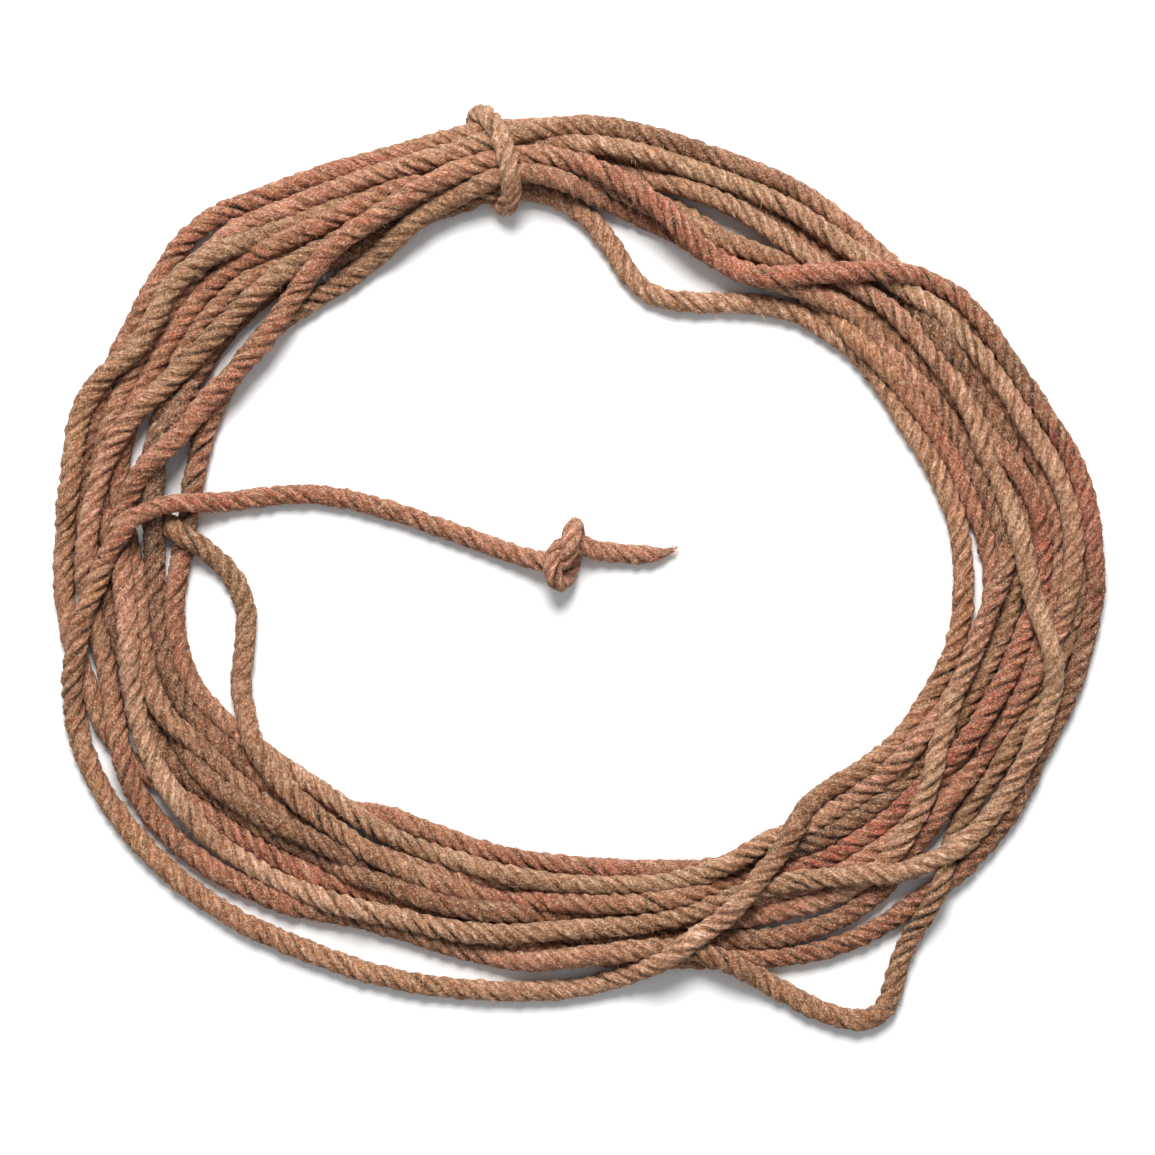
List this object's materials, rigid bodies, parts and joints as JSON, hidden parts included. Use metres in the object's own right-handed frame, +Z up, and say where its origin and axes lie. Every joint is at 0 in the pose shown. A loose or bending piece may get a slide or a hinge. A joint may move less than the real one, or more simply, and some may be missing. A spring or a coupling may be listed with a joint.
{
  "type": "coiled frayed rope",
  "caption": "Worn laid rope wound by hand into a loose oval coil, tied once round the bundle, its free end lying across the middle with an overhand knot.",
  "frame": {"origin": "middle of the object's bounding box, on the surface that the coil lies on", "axes": "+X along the oval's long way, +Y across it towards the tied side, +Z up"},
  "size_m": [0.3982, 0.3532, 0.0327],
  "materials": {
    "rope": "matte"
  },
  "bodies": {
    "root": {"coil": "rope", "tie_turn": "rope", "loose_end": "rope", "overhand_knot": "rope"}
  },
  "joints": []
}
